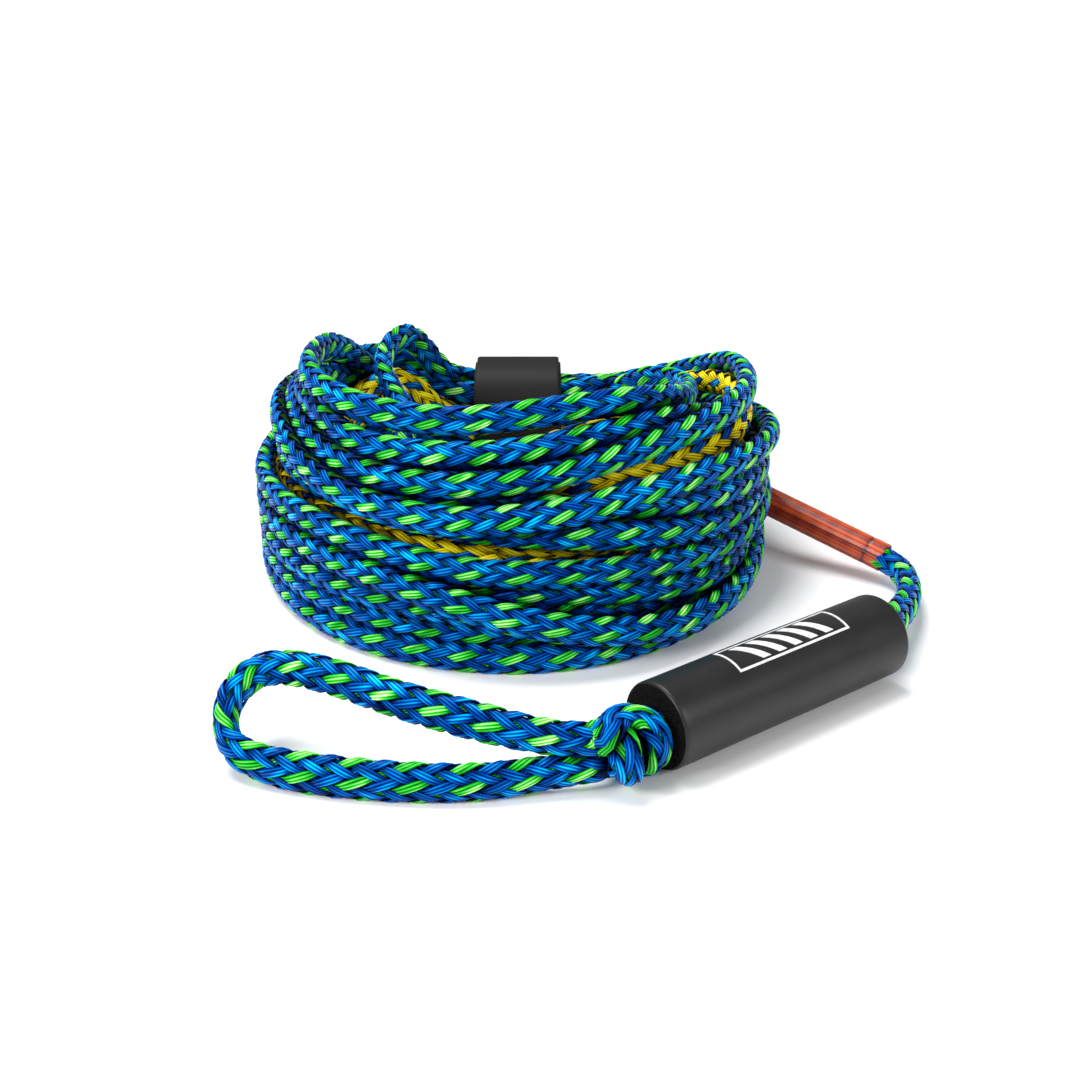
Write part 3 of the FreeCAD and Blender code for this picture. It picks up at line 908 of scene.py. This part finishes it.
def build_print(material):
    """A plain panel printed on the float: a border with slanted bars in it."""
    low, high = PRINT_FROM, PRINT_TO
    near, far = PRINT_ARC
    line = PRINT_LINE
    outer = [(low, near), (high, near), (high, far), (low, far)]
    inner = [(low + line, near + line), (high - line, near + line), (high - line, far - line), (low + line, far - line)]
    patches = [
        print_strip([outer[0], outer[1], inner[1], inner[0]], 40, 3),
        print_strip([outer[1], outer[2], inner[2], inner[1]], 20, 3),
        print_strip([outer[2], outer[3], inner[3], inner[2]], 40, 3),
        print_strip([outer[3], outer[0], inner[0], inner[3]], 20, 3),
    ]
    for bar in range(PRINT_BARS):
        foot = low + 9.0 + bar * 12.5
        bottom, top = near + 2 * line, far - 2 * line
        patches.append(print_strip([(foot, bottom), (foot + 6, bottom), (foot + 17, top), (foot + 11, top)], 5, 20))
    vertices, faces = [], []
    first = 0
    for patch_vertices, patch_faces in patches:
        vertices.append(patch_vertices)
        faces.append(patch_faces + first)
        first += len(patch_vertices)
    piece = mesh_object("float_print", np.concatenate(vertices), np.concatenate(faces), [material], smooth_faces=False)
    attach(piece, "float")


def build_sleeve(material):
    """Heat-shrink tube drawn down on the braid, with lengthwise ridges."""
    steps = 90
    sides = 144
    a = np.arange(sides) * 2 * math.pi / sides

    def ridges(along):
        fine = 0.30 * np.sin(16 * a + 0.5 * np.sin(along * 0.045))
        coarse = 0.45 * np.sin(7 * a + 0.02 * along + 1.0)
        thread = 0.35 * np.sin(31 * a + 0.8 * np.sin(along * 0.03 + 2 * a))
        weave = 0.35 * np.sin(along * 0.24 + 4 * a) * np.sin(along * 0.24 - 4 * a)
        return (fine + coarse + thread + weave) / 1.45

    places = np.linspace(0, SLEEVE_LENGTH, steps)
    outer, painted_relief_shade = [], []
    for along in places:
        ring_line = math.exp(-(((along - 12) / 0.8) ** 2))
        lip = math.exp(-(((along) / 1.6) ** 2)) + math.exp(-(((along - SLEEVE_LENGTH) / 1.6) ** 2))
        share = ridges(along)
        outer.append((along, 9.75 + 0.20 * share - 0.22 * ring_line + 0.12 * lip))
        # painted shade and painted highlight: darker in the hollows between the ridges and in the ring groove, lighter
        # on the ridges
        painted_relief_shade.append(0.55 + 0.5 * share - 0.5 * ring_line)
    inner = [(SLEEVE_LENGTH, 9.0 + 0 * a), (SLEEVE_LENGTH - 8, 8.6 + 0 * a), (8, 8.6 + 0 * a), (0, 9.0 + 0 * a)]
    side = unit(np.cross(SLEEVE_AXIS, [0.0, 0.0, 1.0]))
    up = np.cross(side, SLEEVE_AXIS)
    rings = []
    for along, radius in outer + inner:
        rings.append(
            SLEEVE_FRONT + SLEEVE_AXIS * along
            + up * (np.cos(a) * radius)[:, None] + side * (np.sin(a) * radius)[:, None]
        )
    # painted shade on the inside of the tube
    painted_relief_shade += [0.1 + 0 * a] * 4
    rings = np.stack(rings)
    count = len(rings)
    faces = tube_faces(count, sides)
    closing = np.stack([
        (count - 1) * sides + np.arange(sides),
        (count - 1) * sides + (np.arange(sides) + 1) % sides,
        (np.arange(sides) + 1) % sides,
        np.arange(sides),
    ], 1)
    piece = mesh_object("splice_sleeve_tube", rings.reshape(-1, 3), np.concatenate([faces, closing]), [material])
    attribute = piece.data.attributes.new("painted_relief_shade", "FLOAT", "POINT")
    attribute.data.foreach_set("value", np.clip(np.stack(painted_relief_shade), 0, 1).astype(np.float32).ravel())
    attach(piece, "rope")
    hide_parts("splice_sleeve")
    return piece


def strap_point(run, offset):
    """The strap's half depth, half height and corner radius, each grown by offset. Run is not used."""
    depth = STRAP_HALF_DEPTH + offset
    height = STRAP_HALF_HEIGHT + offset
    corner = STRAP_CORNER + offset
    return depth, height, corner


def strap_loop(offset, count):
    """Points and outward normals round the strap's section, front side first, upwards."""
    depth = STRAP_HALF_DEPTH
    height = STRAP_HALF_HEIGHT
    corner = STRAP_CORNER
    pieces = []
    arcs = [((-1, 1), 180, 90), ((1, 1), 90, 0), ((1, -1), 0, -90), ((-1, -1), -90, -180)]
    pieces.append(np.array([[-depth, z, -1, 0] for z in np.linspace(-(height - corner), height - corner, 40)]))
    for k, ((sy, sz), a0, a1) in enumerate(arcs):
        centre = np.array([sy * (depth - corner), sz * (height - corner)])
        t = np.radians(np.linspace(a0, a1, 40))
        arc = np.column_stack([centre[0] + corner * np.cos(t), centre[1] + corner * np.sin(t), np.cos(t), np.sin(t)])
        pieces.append(arc)
    path = np.concatenate(pieces)
    path = np.concatenate([path, path[:1]])
    run = np.append(0, np.cumsum(np.linalg.norm(np.diff(path[:, :2], axis=0), axis=1)))
    keep = np.append(True, np.diff(run) > 1e-9)
    path, run = path[keep], run[keep]
    s = np.linspace(0, run[-1], count, endpoint=False)
    out = np.stack([np.interp(s, run, path[:, k]) for k in range(4)], 1)
    normal = unit(out[:, 2:])
    return out[:, :2] + normal * offset, normal, s, run[-1]


def web_sheet(name, width, low, high, pattern, materials, keep=None, columns=110, rows=420):
    """A woven layer of the strap between two offsets, with its weave raised on it."""
    yz_low, normal, s, total = strap_loop(low, rows)
    yz_high, _, _, _ = strap_loop(high, rows)
    chosen = np.arange(rows)
    closed = keep is None
    if keep is not None:
        chosen = np.array([k for k in range(rows) if keep(yz_high[k][0], yz_high[k][1])])
        breaks = np.where(np.diff(chosen) > 1)[0]
        if len(breaks):
            chosen = np.concatenate([chosen[breaks[0] + 1:], chosen[:breaks[0] + 1]])
    x = np.linspace(-width / 2, width / 2, columns)
    edge = smooth(width / 2 - np.abs(x), 0, 1.6)
    tops, bottoms, weave = [], [], []
    for k in chosen:
        rise = pattern(x, s[k]) * edge
        # painted highlight on the raised threads and painted shade in the hollows, following the weave's height
        painted_thread_light = 0.5 + 1.9 * rise
        weave.append(np.concatenate([painted_thread_light, painted_thread_light[::-1]]))
        n = np.array([0.0, *normal[k]])
        top = np.column_stack([x, np.full(columns, yz_high[k][0]), np.full(columns, yz_high[k][1])])
        thin = (1 - edge) * (high - low) * 0.35
        tops.append(top + n * (rise - thin)[:, None])
        bottom = np.column_stack([x, np.full(columns, yz_low[k][0]), np.full(columns, yz_low[k][1])])
        bottoms.append(bottom + n * thin[:, None])
    rings = [np.concatenate([t, b[::-1]]) for t, b in zip(tops, bottoms)]
    rings = np.stack(rings) + STRAP_CENTRE
    count, sides = rings.shape[:2]
    faces = tube_faces(count, sides)
    if closed:
        k = np.arange(sides)
        nxt = (k + 1) % sides
        last = (count - 1) * sides
        faces = np.concatenate([faces, np.stack([last + k, last + nxt, nxt, k], 1)])
    else:
        half = columns
        k = np.arange(half - 1)
        for base, flip in ((0, True), ((count - 1) * sides, False)):
            cap = np.stack([base + k, base + k + 1, base + sides - 2 - k, base + sides - 1 - k], 1)
            faces = np.concatenate([faces, cap[:, ::-1] if not flip else cap])
    piece = mesh_object(name, rings.reshape(-1, 3), faces, materials)
    attribute = piece.data.attributes.new("weave", "FLOAT", "POINT")
    attribute.data.foreach_set("value", np.clip(np.stack(weave), 0, 1).astype(np.float32).ravel())
    return piece


def chevron(x, s):
    """Coarse webbing: ribs that zigzag across it."""
    fold = np.abs(((x / 5.5) % 2) - 1)
    return 0.30 * np.sin(2 * math.pi * (s / 3.0 + fold * 0.9)) * (0.6 + 0.4 * np.cos(2 * math.pi * x / 2.75))


def plain_weave(x, s):
    """Fine webbing: a tight plain weave."""
    return 0.2 * np.sin(2 * math.pi * x / 2.2) * np.sin(2 * math.pi * s / 2.2)


def build_strap(coarse, fine):
    middle_y = 0.0
    band = web_sheet("strap_webbing_band", 66.0, 0.0, 1.6, chevron, [coarse], columns=128, rows=420)
    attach(band, "rope")
    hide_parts("strap_band")
    tab_foot = 63.4 - STRAP_CENTRE[2]
    tab_end = 68.4 - STRAP_CENTRE[2]
    tab = web_sheet(
        "strap_webbing_tab", 63.0, 4.0, 5.5, plain_weave, [fine],
        keep=lambda y, z: z > (tab_foot if y > middle_y else tab_end), columns=128, rows=560,
    )
    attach(tab, "strap_tab")
    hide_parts("strap_tab")
    root = web_sheet(
        "strap_webbing_root", 63.0, 1.6, 3.1, plain_weave, [fine],
        keep=lambda y, z: y > 0 and 37.0 - STRAP_CENTRE[2] < z < 63.0 - STRAP_CENTRE[2], columns=128, rows=560,
    )
    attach(root, "rope")
    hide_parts("strap_tab_root")


# ---------------------------------------------------------------- stage


def build_camera():
    camera = bpy.data.cameras.new("camera")
    camera.lens = 53.3
    camera.sensor_width = 36.0
    camera.clip_end = 50.0
    holder = bpy.data.objects.new("camera", camera)
    holder.location = (-0.028, -0.967, 0.460)
    holder.rotation_euler = (math.radians(90 - 23.6), 0, 0)
    bpy.context.scene.collection.objects.link(holder)
    bpy.context.scene.camera = holder


def build_stage():
    bpy.ops.mesh.primitive_plane_add(size=14.0)
    floor = bpy.context.object
    floor.name = "floor"
    material, nodes, links = new_material("floor_white")
    shader = shader_of(nodes, 0.6, 0.2)
    shader.inputs["Base Color"].default_value = (0.93, 0.93, 0.935, 1)
    floor.data.materials.append(material)
    world = bpy.data.worlds.new("studio")
    world.use_nodes = True
    nodes, links = world.node_tree.nodes, world.node_tree.links
    nodes["Background"].inputs["Strength"].default_value = 0.34
    nodes["Background"].inputs["Color"].default_value = (1, 1, 1, 1)
    backdrop = nodes.new("ShaderNodeBackground")
    backdrop.inputs["Color"].default_value = (1, 1, 1, 1)
    backdrop.inputs["Strength"].default_value = 1.0
    rays = nodes.new("ShaderNodeLightPath")
    either = nodes.new("ShaderNodeMixShader")
    links.new(rays.outputs["Is Camera Ray"], either.inputs[0])
    links.new(nodes["Background"].outputs[0], either.inputs[1])
    links.new(backdrop.outputs[0], either.inputs[2])
    links.new(either.outputs[0], nodes["World Output"].inputs["Surface"])
    bpy.context.scene.world = world

    overhead = bpy.data.lights.new("overhead", "SUN")
    overhead.energy = 2.9
    overhead.angle = math.radians(32)
    holder = bpy.data.objects.new("overhead", overhead)
    holder.rotation_euler = (math.radians(-14), math.radians(-16), 0)
    bpy.context.scene.collection.objects.link(holder)

    def softbox(name, place, aim, size, power):
        light = bpy.data.lights.new(name, "AREA")
        light.shape = "RECTANGLE"
        light.size, light.size_y = size
        light.energy = power
        holder = bpy.data.objects.new(name, light)
        holder.location = place
        holder.rotation_euler = (Vector(aim) - Vector(place)).to_track_quat("-Z", "Y").to_euler()
        bpy.context.scene.collection.objects.link(holder)

    softbox("left", (-1.2, -1.1, 1.0), (0, 0, 0.05), (0.8, 0.6), 24)
    softbox("right", (1.3, -0.9, 0.9), (0, 0, 0.05), (0.7, 0.6), 12)
    bpy.context.scene.view_settings.view_transform = "Standard"


# ---------------------------------------------------------------- assembly

build_camera()
blue_route, yellow_route = rope_routes()
main_rope = blue_rope(blue_route)
boat_rope = yellow_rope(yellow_route)
note_neighbours([main_rope, boat_rope])

# each yarn: painted shade, its own colour, painted highlight, then the tint of its gloss
blue = yarn_material("yarn_blue", (0.0, 0.006, 0.09), (0.0, 0.09, 0.48), (0.0, 0.66, 1.0), (0.0, 0.7, 1.0))
green = yarn_material("yarn_green", (0.0, 0.17, 0.006), (0.02, 0.66, 0.03), (0.85, 1.0, 0.5), (0.7, 1.0, 0.5))
yellow = yarn_material("yarn_yellow", (0.42, 0.31, 0.0), (1.0, 0.84, 0.0), (1.0, 0.95, 0.08), (1.0, 0.95, 0.3))
# the braids' cores are near-black: painted shade for the gaps between strands
core_shade_blue = yarn_material("yarn_core_painted_shade_blue", (0.0, 0.001, 0.012), (0.0, 0.002, 0.025), (0.0, 0.004, 0.04), (0.0, 0.1, 0.2))
core_shade_yellow = yarn_material(
    "yarn_core_painted_shade_yellow", (0.05, 0.035, 0.0), (0.08, 0.055, 0.0), (0.1, 0.08, 0.0), (0.2, 0.15, 0.0)
)

blue_pieces = build_rope(
    main_rope, "main_rope", blue, green, core_shade_blue, "rope",
    ["main_rope_coil", "lead_rope", "spliced_rope", "buried_tail", "loop_knot", "tow_loop"],
)
yellow_pieces = build_rope(
    boat_rope, "boat_rope", yellow, blue, core_shade_yellow, "rope",
    ["boat_rope_coil", "boat_end_eye"],
)
build_float(foam_skin_material(), foam_end_material())
build_print(print_material())
build_sleeve(heat_shrink_material())
build_strap(
    woven_material("webbing_coarse", (0.001, 0.001, 0.001), (0.021, 0.018, 0.016), 0.6),
    woven_material("webbing_fine", (0.001, 0.001, 0.001), (0.020, 0.0185, 0.0175), 0.55),
)
for node, colours in (("loop_patch", 0.012), ("hook_patch", 0.02), ("strap_stitching", 0.05)):
    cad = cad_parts[node]
    cad.data.materials.clear()
    cad.data.materials.append(webbing_material(f"{node}_fabric", (colours * 0.5,) * 3, (colours * 1.6,) * 3, 0.8))
build_stage()
